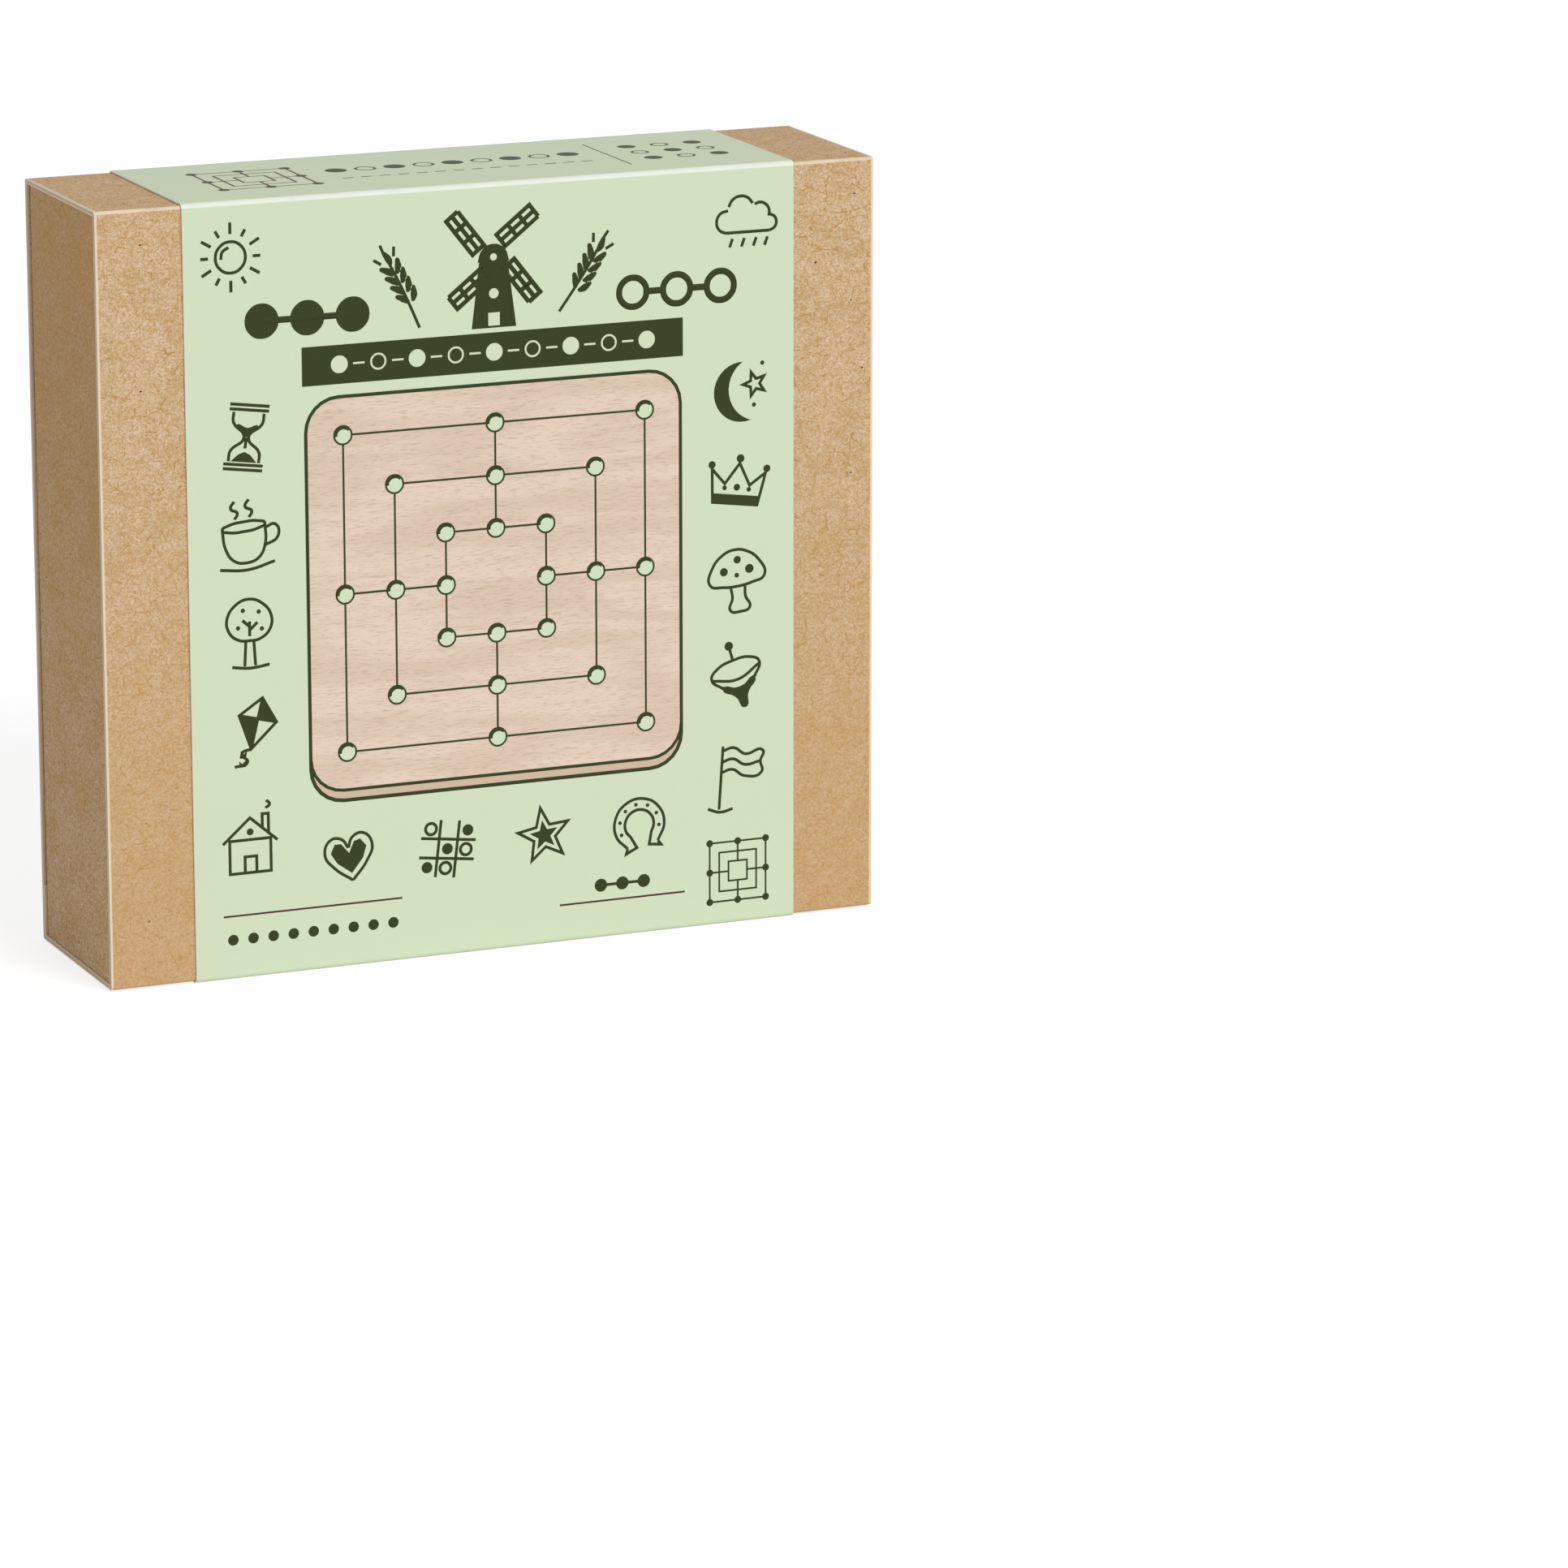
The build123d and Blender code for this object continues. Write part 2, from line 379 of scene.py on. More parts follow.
def make_depth_in_sheet():
    """How deep a point lies below the outside of a folded tube or tray, and where it is along the fold."""
    tree, given, result = new_group(
        "depth in sheet", "Float", ["Across", "Across low", "Across high", "Up", "Up low", "Up high"],
        ["Depth", "Along"])

    def to_nearest(axis):
        low = calculate("SUBTRACT", given[axis], given[axis + " low"])
        high = calculate("SUBTRACT", given[axis + " high"], given[axis])
        return calculate("MINIMUM", low, high)

    across, up = to_nearest("Across"), to_nearest("Up")
    plug(calculate("MINIMUM", across, up), result["Depth"])
    on_side = calculate("LESS_THAN", across, up)
    along = add_node("ShaderNodeMix", {"Factor": on_side}, data_type="FLOAT")
    sockets = {socket.identifier: socket for socket in along.inputs}
    plug(given["Across"], sockets["A_Float"])
    plug(given["Up"], sockets["B_Float"])
    plug(along.outputs[0], result["Along"])
    return tree


def make_crease_wear_and_highlight():
    """Where a fold that runs along X is pale, partly rubbed and partly a painted highlight: only on its
    round, uneven along it, and strong only near the top.
    """
    tree, given, result = new_group("crease wear and highlight", "Vector", ["Place", "Normal"], ["Wear"])
    facing = axes(given["Normal"])
    slant = calculate("MINIMUM", size_of(facing[1]), size_of(facing[2]))
    # Painted highlight: the pale fold is strong only near the top, where the light catches it.
    near_top = ramp(axes(given["Place"])[2], 0.1, 0.2, 0.15, 1.0)
    patches = ramp(noise(given["Place"], 7 * MM, 3.0), 0.3, 0.6, 0.72, 1.0)
    plug(product(ramp(slant, 0.12, 0.34), patches, near_top), result["Wear"])
    return tree


def make_wood_grain():
    """Fine short grain along X, slow curved bands of figure and a few thin dark pores."""
    tree, given, result = new_group("wood grain", "Vector", ["Place"], ["Grain", "Figure", "Pores"])
    place = given["Place"]
    bent = noise(moved(place, scale=(0.25, 1, 1)), 45 * MM, 2.0)
    lift = product(bent, 14 * MM)
    x, y, z = axes(place)
    wavy = add_node("ShaderNodeCombineXYZ", {
        "X": x, "Y": calculate("ADD", y, lift), "Z": calculate("ADD", z, lift)}).outputs[0]
    fine = noise(moved(wavy, scale=(0.1, 1, 1)), 0.34 * MM, 3.0, 0.6)
    plug(fine, result["Grain"])
    growth = noise(moved(wavy, scale=(0.22, 1, 1)), 34 * MM, 1.5, 0.4)
    rings = calculate("SINE", product(growth, 46.0))
    streaks = noise(moved(wavy, scale=(0.06, 1, 1)), 3 * MM, 3.0, 0.6)
    plug(calculate("MULTIPLY_ADD", rings, 0.16, streaks), result["Figure"])
    vessels = noise(moved(wavy, (3, 1, 2), (0.11, 1, 1)), 0.6 * MM, 1.0)
    plug(ramp(vessels, 0.77, 0.83), result["Pores"])
    return tree


def make_ink_cover():
    """How evenly printing ink covers the card: a slow drift and fine pinholes."""
    tree, given, result = new_group("ink cover", "Vector", ["Place"], ["Cover"])
    drift = ramp(noise(given["Place"], 22 * MM, 3.0), 0.3, 0.7, 0.82, 1.0)
    pinholes = ramp(noise(given["Place"], 0.35 * MM, 2.0), 0.24, 0.34, 0.6, 1.0)
    plug(product(drift, pinholes), result["Cover"])
    return tree


felted_fibres = make_felted_fibres()
cut_board = make_cut_board()
depth_in_sheet = make_depth_in_sheet()
crease_wear_and_highlight = make_crease_wear_and_highlight()
wood_grain = make_wood_grain()
ink_cover = make_ink_cover()


# ==== materials ====
# Of these tones, the darker brown for the bottom of the outer box is painted shade, the pale worn tone is
# partly wear and partly painted highlight, and the dark hollow tone of a cut edge is painted shade between
# the flutes.
kraft = tones(pink=(225, 203, 173), ochre=(201, 169, 125), rose=(221, 191, 164), gold=(206, 167, 104),
              grey=(197, 180, 153), fibre=(182, 138, 76), strand=(188, 148, 96), pale=(230, 207, 180),
              amber=(190, 140, 66), speck=(84, 54, 30), handled=(196, 156, 104), brown=(188, 142, 72),
              edge=(240, 224, 202), worn=(232, 212, 184), hollow=(204, 178, 146))

# Each layer of tone in the kraft paper: its mask, where the ramp on it starts and ends, its share at either
# end of the ramp, and its tone.
kraft_layers = (
    ("Warmth", 0.3, 0.5, 0.5, 0.0, kraft.rose), ("Warmth", 0.5, 0.7, 0.0, 0.6, kraft.gold),
    ("Grain", 0.28, 0.5, 0.46, 0.0, kraft.grey), ("Grain", 0.52, 0.72, 0.0, 0.42, kraft.fibre),
    ("Drift", 0.38, 0.54, 0.14, 0.0, kraft.rose), ("Drift", 0.46, 0.64, 0.0, 0.16, kraft.brown),
    ("Strands", 0.0, 1.0, 0.0, 0.48, kraft.strand), ("Spots", 0.0, 1.0, 0.0, 0.46, kraft.amber),
    ("Dark fibres", 0.0, 1.0, 0.0, 0.6, kraft.fibre), ("Pale fibres", 0.0, 1.0, 0.0, 0.32, kraft.pale))


def kraft_colour(place, normal, contrast):
    """Plain kraft paper from its clouds, fibres and specks. Returns its colour and its fine relief."""
    pulp = use_group(felted_fibres, place=place, normal=normal)
    colour = blend(ramp(pulp["Clouds"], 0.32, 0.68), kraft.pink, kraft.ochre)
    for mask, start, end, low, high, tone in kraft_layers:
        share = ramp(pulp[mask], start, end, low * contrast, high * contrast)
        colour = blend(share, colour, tone)
    colour = blend(pulp["Specks"], colour, kraft.speck)
    relief = calculate("SUBTRACT", pulp["Pale fibres"], pulp["Dark fibres"])
    return colour, bump(relief, 0.25, 0.05 * MM)


def cut_edge_colour(**places):
    """The cut edge of the kraft board: pale liners, and the wavy sheet between them, with painted shade in
    the hollows beside the wave.
    """
    sheet = use_group(depth_in_sheet, **places)
    edge = use_group(cut_board, depth=sheet["Depth"], along=sheet["Along"])
    # Painted shade: the hollows beside the wave get a darker tone.
    core = blend(edge["Wave"], kraft.hollow, kraft.pink)
    return blend(edge["Liner"], core, kraft.edge)


def kraft_shell_material():
    """Outer box: kraft board, cut across its ends, with painted shade that browns it towards the bottom, and
    pale along the upper folds and along the front at its ends, partly wear and partly painted highlight.
    """
    material, place, normal = new_material("kraft board, outer box")
    colour, relief = kraft_colour(place, normal, 1.8)
    wear_and_highlight = use_group(crease_wear_and_highlight, place=place, normal=normal)["Wear"]
    x, y, z = axes(place)
    # Painted shade: the outer box turns browner towards the bottom.
    handled = ramp(z, shell_low.z, shell_low.z + bottom_shade_reach, 0.5, 0.0)
    colour = blend(handled, colour, kraft.handled)
    cut = cut_edge_colour(across=y, across_low=shell_low.y, across_high=shell_high.y,
                          up=z, up_low=shell_low.z, up_high=shell_high.z)
    facing_end = ramp(size_of(axes(normal)[0]), 0.6, 0.8)
    # A pale line along the front at each end, and the pale upper folds: partly crushed, worn paper, partly
    # painted highlight.
    from_end = calculate("SUBTRACT", shell_high.x, size_of(x))
    end_crush_and_highlight = ramp(from_end, 0.5 * MM, 0.9 * MM, 1.0, 0.0)
    colour = blend(calculate("MAXIMUM", wear_and_highlight, end_crush_and_highlight), colour, kraft.worn)
    return finish_material(material, blend(facing_end, colour, cut), 0.86, 0.25, relief)


def kraft_drawer_material():
    """Drawer: the same board, made darker by painted shade that browns it towards the top, with its cut rim
    all round the front.
    """
    material, place, normal = new_material("kraft board, drawer")
    colour, relief = kraft_colour(moved(place, (0, 0, 0.3)), normal, 2.5)
    x, y, z = axes(place)
    # Painted shade: the drawer's end turns browner towards the top.
    colour = blend(ramp(z, drawer_low.z, drawer_high.z, 0.04, 0.5), colour, kraft.brown)
    cut = cut_edge_colour(across=x, across_low=drawer_low.x, across_high=drawer_high.x,
                          up=z, up_low=drawer_low.z, up_high=drawer_high.z)
    facing_front = ramp(axes(normal)[1], -0.8, -0.6, 1.0, 0.0)
    at_rim = ramp(y, drawer_low.y + 0.2 * MM, drawer_low.y + 0.4 * MM, 1.0, 0.0)
    colour = blend(product(facing_front, at_rim), colour, cut)
    return finish_material(material, colour, 0.86, 0.25, relief)


# The paler green of the creases is partly wear, partly painted highlight.
card = tones(green=(209, 222, 191), thin_ink=(213, 225, 197), crease=(238, 243, 230),
             inside=(232, 229, 219), edge=(246, 246, 240))


def printed_card_material():
    """The band: pale green printed card with pale creases, partly wear and partly painted highlight, white
    cut edges and unprinted inside.
    """
    material, place, normal = new_material("pale green printed card")
    cover = use_group(ink_cover, place=place)["Cover"]
    colour = blend(cover, card.thin_ink, card.green)
    wear_and_highlight = use_group(crease_wear_and_highlight, place=place, normal=normal)["Wear"]
    # Pale creases: partly wear, partly painted highlight.
    colour = blend(product(wear_and_highlight, 0.8), colour, card.crease)
    from_middle = moved(place, -(band_low + band_high) / 2)
    outwards = add_node("ShaderNodeVectorMath", {0: from_middle, 1: normal},
                        operation="DOT_PRODUCT").outputs["Value"]
    colour = blend(ramp(outwards, -15 * MM, -5 * MM, 1.0, 0.0), colour, card.inside)
    edge = ramp(size_of(axes(place)[0]), band_high.x - 0.02 * MM, band_high.x - 0.005 * MM)
    tooth = noise(place, 0.3 * MM, 3.0, 0.6)
    return finish_material(material, blend(edge, colour, card.edge), 0.62, 0.3,
                           bump(tooth, 0.12, 0.03 * MM))


def ink_material(name, full, thin):
    """Ink in two 0-255 screen colours. It lies thin in places, where a little of the card shows through."""
    material, place = new_material(name)[:2]
    cover = use_group(ink_cover, place=place)["Cover"]
    colour = blend(cover, screen_colour(*thin), screen_colour(*full))
    return finish_material(material, colour, ramp(cover, 0.5, 1.0, 0.7, 0.56), 0.22)


drawn_wood = tones(pale=(228, 208, 189), warm=(219, 197, 176), line=(178, 152, 128))


def wood_print_material():
    """Tan ink with fine printed grain lines, for the drawn board."""
    material, place = new_material("tan ink with printed grain")[:2]
    grain = use_group(wood_grain, place=place)
    colour = blend(ramp(grain["Figure"], 0.3, 0.7), drawn_wood.pale, drawn_wood.warm)
    lines = ramp(grain["Grain"], 0.34, 0.5, 0.45, 0.0)
    return finish_material(material, blend(lines, colour, drawn_wood.line), 0.6, 0.3)


brown_card = tones(pale=(203, 172, 134), brown=(190, 157, 114), fold=(226, 205, 176))


def insert_card_material():
    """Unprinted brown card, finer than the outer board, with pale folds."""
    material, place, normal = new_material("brown insert card")
    finer = moved(place, (0.2, 0.1, 0), (1.6, 1.6, 1.6))
    pulp = use_group(felted_fibres, place=finer, normal=normal)
    colour = blend(ramp(pulp["Clouds"], 0.3, 0.7), brown_card.pale, brown_card.brown)
    colour = blend(ramp(pulp["Drift"], 0.4, 0.65, 0.0, 0.3), colour, kraft.brown)
    for mask, share, tone in (("Strands", 0.4, kraft.strand), ("Dark fibres", 0.6, kraft.fibre),
                              ("Pale fibres", 0.3, kraft.pale)):
        colour = blend(product(pulp[mask], share), colour, tone)
    facing = axes(normal)
    slant = calculate("MINIMUM", size_of(facing[1]), size_of(facing[0]))
    colour = blend(ramp(slant, 0.15, 0.4, 0.0, 0.7), colour, brown_card.fold)
    return finish_material(material, colour, 0.82, 0.25, bump(pulp["Pale fibres"], 0.2, 0.04 * MM))


paper = tones(white=(240, 238, 230), grey=(233, 230, 220))


def leaflet_material():
    """Thin white paper with a fine fleck, a little wavy from its folding."""
    material, place = new_material("white leaflet paper")[:2]
    fleck = noise(place, 1.1 * MM, 4.0, 0.7)
    colour = blend(ramp(fleck, 0.35, 0.65), paper.white, paper.grey)
    waves = noise(moved(place, scale=(1, 1, 0.4)), 16 * MM, 2.0)
    return finish_material(material, colour, 0.78, 0.3, bump(waves, 0.35, 0.3 * MM))


ply = tones(pale=(247, 233, 222), warm=(242, 222, 202), crossed_pale=(240, 219, 198),
            crossed_warm=(230, 204, 176), tick=(230, 206, 184), pore=(190, 148, 116),
            scorch=(176, 136, 104), groove_pink=(226, 205, 192), groove_gold=(234, 204, 170))


def ply_colour(grain, pale, warm):
    colour = blend(ramp(grain["Figure"], 0.3, 0.72), pale, warm)
    colour = blend(ramp(grain["Grain"], 0.32, 0.56, 0.5, 0.0), colour, ply.tick)
    return blend(product(grain["Pores"], 0.6), colour, ply.pore)


def birch_material():
    """Birch plywood: pale faces, crossed plies at the edges, and scorched, patchy milled grooves."""
    material, place = new_material("birch plywood")[:2]
    along = use_group(wood_grain, place=place)
    crossed = use_group(wood_grain, place=moved(place, turn=(0, radians(90), 0)))
    x, y, z = axes(place)
    depth = calculate("SUBTRACT", y, board_low.y)
    count = calculate("DIVIDE", depth, ply_thickness)
    parity = calculate("MODULO", calculate("FLOOR", count), 2.0)
    from_joint = size_of(calculate("SUBTRACT", calculate("FRACT", count), 0.5))
    below_face = calculate("GREATER_THAN", depth, ply_thickness / 2)
    glue = product(ramp(from_joint, 0.42, 0.49, 0.0, 0.5), below_face)
    faces = ply_colour(along, ply.pale, ply.warm)
    between = ply_colour(crossed, ply.crossed_pale, ply.crossed_warm)
    colour = blend(parity, faces, between)
    colour = blend(glue, colour, ply.pore)

    off_middle = calculate("MAXIMUM", size_of(x), size_of(calculate("SUBTRACT", z, board_middle.z)))
    inside = calculate("LESS_THAN", off_middle, 3 * square_step + 2 * recess_radius)
    patches = ramp(noise(moved(place, (4, 0, 7)), 7 * MM, 2.0), 0.46, 0.54)
    floor = blend(patches, ply.groove_pink, ply.groove_gold)
    at_floor = product(ramp(depth, 0.85 * groove_depth, 0.97 * groove_depth, 0.0, 0.65),
                       calculate("LESS_THAN", depth, 1.1 * groove_depth))
    at_wall = product(ramp(depth, 0.04 * MM, 0.1 * MM, 0.0, 0.55),
                      ramp(depth, 0.8 * groove_depth, groove_depth, 1.0, 0.0))
    colour = blend(product(at_floor, inside), colour, floor)
    colour = blend(product(at_wall, inside), colour, ply.scorch)
    return finish_material(material, colour, ramp(along["Figure"], 0.3, 0.7, 0.5, 0.62), 0.35,
                           bump(along["Grain"], 0.1, 0.04 * MM))


def paint_material(name, side, end, worn, roughness, wear_share):
    """Paint soaked into turned wood: darker on the end grain, thin on rubbed spots."""
    side, end, worn = (screen_colour(*tone) for tone in (side, end, worn))
    material, place, normal = new_material(name)
    grain = use_group(wood_grain, place=moved(place, turn=(0, 0, radians(90))))
    on_end = ramp(size_of(axes(normal)[1]), 0.35, 0.95)
    colour = blend(on_end, side, end)
    colour = blend(ramp(grain["Grain"], 0.3, 0.7, 0.22, 0.0), colour, end)
    rubbed = ramp(noise(place, 1.4 * MM, 5.0, 0.7), 0.6, 0.74)
    specks = ramp(noise(place, 0.3 * MM, 1.0), 0.58, 0.7, 0.0, 0.6)
    slant = size_of(calculate("SUBTRACT", on_end, 0.5))
    rim = product(ramp(slant, 0.3, 0.48, 0.8, 0.0),
                  ramp(noise(place, 0.8 * MM, 2.0), 0.42, 0.6))
    rubbed = calculate("MAXIMUM", calculate("MAXIMUM", rubbed, specks), rim)
    colour = blend(product(rubbed, wear_share), colour, worn)
    gloss = ramp(grain["Figure"], 0.3, 0.7, roughness - 0.06, roughness + 0.08)
    return finish_material(material, colour, gloss, 0.4, bump(grain["Grain"], 0.18, 0.05 * MM))


def seen_by_camera(tree):
    """1 where the camera looks, straight or by way of gloss or glass, and 0 for the light on the object."""
    path = tree.nodes.new("ShaderNodeLightPath").outputs
    return calculate("MAXIMUM", path["Is Camera Ray"],
                     calculate("MAXIMUM", path["Is Glossy Ray"], path["Is Transmission Ray"]))


def floor_material():
    """A matt white floor. The camera sees it white with a faint shadow, the object gets bounced light."""
    material = bpy.data.materials.new("white floor")
    material.use_nodes = True
    tree = material.node_tree
    tree.nodes.clear()

    def shader(kind, **values):
        node = tree.nodes.new(kind)
        for name, value in values.items():
            node.inputs[name].default_value = value
        return node.outputs[0]

    plain = shader("ShaderNodeBsdfDiffuse", Color=floor_bounce)
    faint = shader("ShaderNodeBsdfDiffuse", Color=floor_shade)
    glow = shader("ShaderNodeEmission", Color=white, Strength=floor_glow)
    shown = add_node("ShaderNodeAddShader", {0: faint, 1: glow}).outputs[0]
    mixed = add_node("ShaderNodeMixShader", {0: seen_by_camera(tree), 1: plain, 2: shown}).outputs[0]
    plug(mixed, tree.nodes.new("ShaderNodeOutputMaterial").inputs["Surface"])
    return material


olive = ink_material("dark olive ink", (44, 55, 14), (56, 67, 28))
brown = ink_material("dark brown ink", (74, 38, 30), (98, 62, 50))
pale_green = ink_material("card colour left open", (210, 223, 191), (214, 226, 196))
tan_wood = wood_print_material()
tan_edge = ink_material("tan ink, board edge", (206, 182, 158), (214, 194, 172))
birch = birch_material()
red_paint = paint_material("satin red paint", (226, 38, 27), (186, 20, 22), (236, 92, 74), 0.4, 0.25)
black_paint = paint_material("worn black paint", (42, 39, 44), (31, 28, 33), (84, 80, 88), 0.56, 0.4)


# ==== the CAD pieces keep their shape and get their finish ====
sharp_edges = ("EDGE_SPLIT", {"split_angle": radians(32)})
soft_edges = ("BEVEL", {"width": 0.3 * MM, "segments": 2, "limit_method": "ANGLE",
                        "angle_limit": radians(50), "harden_normals": True})


def finish_node(node, material, edges):
    """Gives a CAD piece its material, and smooths its rounds with live modifiers."""
    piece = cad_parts[node]
    give_material(piece, material)
    for face in piece.data.polygons:
        face.use_smooth = True
    add_modifier(piece, "WELD", merge_threshold=hair)
    kind, settings = edges
    add_modifier(piece, kind, **settings)


finish_node("outer_shell", kraft_shell_material(), sharp_edges)
finish_node("tray", kraft_drawer_material(), sharp_edges)
finish_node("sleeve", printed_card_material(), sharp_edges)
finish_node("insert", insert_card_material(), sharp_edges)
finish_node("rules_leaflet", leaflet_material(), sharp_edges)
for number in range(1, 10):
    finish_node(f"red_peg_{number}", red_paint, soft_edges)
    finish_node(f"black_peg_{number}", black_paint, soft_edges)


# ==== playing board ====
def game_point(square, step):
    """Middle of a recess on the board's front: square 1 to 3 from the middle, step 0 to 7 round it."""
    across, up = compass[step]
    reach = square * square_step
    return Vector((board_middle.x + across * reach, board_low.y, board_middle.z + up * reach))


def edit_top(piece):
    """Enters edit mode with the highest vertices selected."""
    top = max(vertex.co.z for vertex in piece.data.vertices)
    edit_selected(piece, "VERT", lambda point: point.z > top - hair)


def make_recess_cutter():
    """One recess as a solid, at the origin, opening towards +Z: round floor, straight wall and eased rim."""
    cap = recess_depth - recess_wall
    floor_radius = (recess_radius ** 2 + cap ** 2) / (2 * cap)
    deselect()
    bpy.ops.mesh.primitive_uv_sphere_add(segments=48, ring_count=40, radius=floor_radius,
                                         location=(0, 0, floor_radius - recess_depth))
    cutter = bpy.context.object
    apply_place(cutter)
    bpy.ops.object.mode_set(mode="EDIT")
    bpy.ops.mesh.select_all(action="SELECT")
    bpy.ops.mesh.bisect(plane_co=(0, 0, -recess_wall), plane_no=(0, 0, 1), clear_outer=True)
    leave_edit()
    for rise, spread in ((recess_wall - recess_rim, 1.0), (recess_rim, 1 + recess_rim / recess_radius),
                         (1.0 * MM, 1.0)):
        edit_top(cutter)
        bpy.ops.mesh.extrude_region_move(TRANSFORM_OT_translate={"value": (0, 0, rise)})
        bpy.ops.transform.resize(value=(spread, spread, 1))
        leave_edit()
    edit_top(cutter)
    bpy.ops.mesh.edge_face_add()
    bpy.ops.mesh.select_all(action="SELECT")
    bpy.ops.mesh.normals_make_consistent(inside=False)
    leave_edit()
    return cutter


def make_recess_cutters():
    first = make_recess_cutter()
    first.rotation_euler.x = radians(90)
    apply_place(first)
    cutters = []
    for square in (1, 2, 3):
        for step in range(8):
            cutter = first.copy()
            cutter.data = first.data.copy()
            cutter.location = game_point(square, step)
            bpy.context.collection.objects.link(cutter)
            cutters.append(cutter)
    bpy.data.objects.remove(first)
    cutters = join_pieces(cutters, "recess_cutters")
    apply_place(cutters)
    return cutters


def make_groove_cutters():
    """Square bars along the sides of the three squares and along the four lines that join them."""
    runs = [(game_point(square, step), game_point(square, (step + 2) % 8))
            for square in (1, 2, 3) for step in corners]
    runs += [(game_point(1, step), game_point(3, step)) for step in sides]
    bars = []
    for start, end in runs:
        deselect()
        size = Vector([abs(end[i] - start[i]) + groove_width for i in range(3)])
        size.y = 2 * groove_depth
        bpy.ops.mesh.primitive_cube_add(size=1, location=(start + end) / 2, scale=size)
        bars.append(bpy.context.object)
    bars = join_pieces(bars, "groove_cutters")
    apply_place(bars)
    return bars


def make_playing_board():
    deselect()
    bpy.ops.mesh.primitive_cube_add(size=1, location=board_middle, scale=board_high - board_low)
    board = bpy.context.object
    board.name = board.data.name = "playing_board"
    apply_place(board)
    edit_selected(board, "EDGE", lambda start, end: abs(start.y - end.y) > 1 * MM)
    bpy.ops.mesh.bevel(offset=board_corner, segments=16, affect="EDGES")
    leave_edit()
    apply_modifier(board, "BEVEL", width=board_rim, segments=4, limit_method="ANGLE", angle_limit=radians(50))
    for cutter in (make_groove_cutters(), make_recess_cutters()):
        apply_modifier(board, "BOOLEAN", object=cutter, operation="DIFFERENCE", solver="EXACT", use_self=True)
        bpy.data.objects.remove(cutter)
    make_active(board)
    bpy.ops.object.shade_smooth_by_angle(angle=radians(30))
    give_material(board, birch)
    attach(board, "board")
    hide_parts("board")


make_playing_board()


# ==== print on the band ====
# A drawing is a list of strokes on a flat sheet, in millimetres. On the front the sheet's up is the box's up,
# and on top it is towards the back.
sheet_places = {
    "front": Matrix.Translation((0, band_low.y, 0)) @ Matrix.Rotation(radians(90), 4, "X"),
    "top": Matrix.Translation((0, 0, band_high.z)),
}


def curve(*points, closed=False):
    """A line that bends smoothly through its points."""
    return {"points": points, "closed": closed, "bend": True}


def straight(*points, closed=False):
    return {"points": points, "closed": closed, "bend": False}


def loop(*points):
    """A closed curve."""
    return curve(*points, closed=True)


def shape(*points):
    """A closed outline with straight sides."""
    return straight(*points, closed=True)


def bar(left, bottom, right, top):
    return shape((left, bottom), (right, bottom), (right, top), (left, top))


def round_points(middle, radius, angles, squash=1.0):
    return [(middle[0] + radius * cos(radians(angle)), middle[1] + radius * squash * sin(radians(angle)))
            for angle in angles]


def mirrored(*points):
    """The points of one half of an even line, and then back along its other half."""
    return (*points, *((-x, y) for x, y in reversed(points) if x))


def arc(middle, radius, start=0, end=360, squash=1.0):
    """Part of a circle, with its angles in degrees, or the whole circle."""
    whole = abs(end - start) >= 360
    steps = 8 if whole else max(2, round(abs(end - start) / 40))
    angles = [start + (end - start) * step / steps for step in range(steps + (not whole))]
    return curve(*round_points(middle, radius, angles, squash), closed=whole)


def placed(strokes, move=(0, 0), size=1.0, turn=0.0):
    """The same strokes moved, resized and turned by degrees on the sheet."""
    c, s = cos(radians(turn)) * size, sin(radians(turn)) * size
    return [{**stroke, "points": [(move[0] + x * c - y * s, move[1] + x * s + y * c)
                                  for x, y in stroke["points"]]} for stroke in strokes]


def sheet_curve(name, strokes):
    """Strokes as one flat curve. Each line is a little higher than the last, so that none share a plane."""
    data = bpy.data.curves.new(name, "CURVE")
    data.dimensions = "2D"
    data.resolution_u = 6
    for count, stroke in enumerate(strokes):
        spline = data.splines.new("BEZIER")
        spline.bezier_points.add(len(stroke["points"]) - 1)
        for knot, (x, y) in zip(spline.bezier_points, stroke["points"]):
            knot.co = (x * MM, y * MM, 0)
            knot.radius = 1 + 0.006 * count
            knot.handle_left_type = knot.handle_right_type = "AUTO" if stroke["bend"] else "VECTOR"
        spline.use_cyclic_u = stroke["closed"]
    piece = bpy.data.objects.new(name, data)
    bpy.context.collection.objects.link(piece)
    return piece


def curve_to_mesh(piece):
    make_active(piece)
    bpy.ops.object.convert(target="MESH")
    return bpy.context.object


def drawn_lines(name, strokes, width):
    """Pen lines of one width: round ends and corners, flattened onto the sheet."""
    piece = sheet_curve(name, strokes)
    piece.data.fill_mode = "NONE"
    piece.data.bevel_depth = width / 2
    piece.data.bevel_resolution = 1
    piece.data.use_fill_caps = True
    piece = curve_to_mesh(piece)
    piece.scale.z = line_height / (width / 2)
    apply_place(piece)
    return piece


def filled_shapes(name, strokes, height):
    """Closed shapes of even height. One that lies inside another leaves a hole in it."""
    piece = sheet_curve(name, strokes)
    piece.data.fill_mode = "BOTH"
    piece.data.extrude = height
    return curve_to_mesh(piece)


def lay_print(name, ink, face="front", lines=(), fills=(), width=pen, height=shape_height):
    """Prints a drawing on the front or the top of the band, as one piece of thin ink."""
    parts = []
    if fills:
        parts.append(filled_shapes(name, fills, height))
    if lines:
        parts.append(drawn_lines(name, lines, width))
    piece = join_pieces(parts, name)
    piece.matrix_world = sheet_places[face]
    apply_place(piece)
    give_material(piece, ink)
    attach(piece, "sleeve")


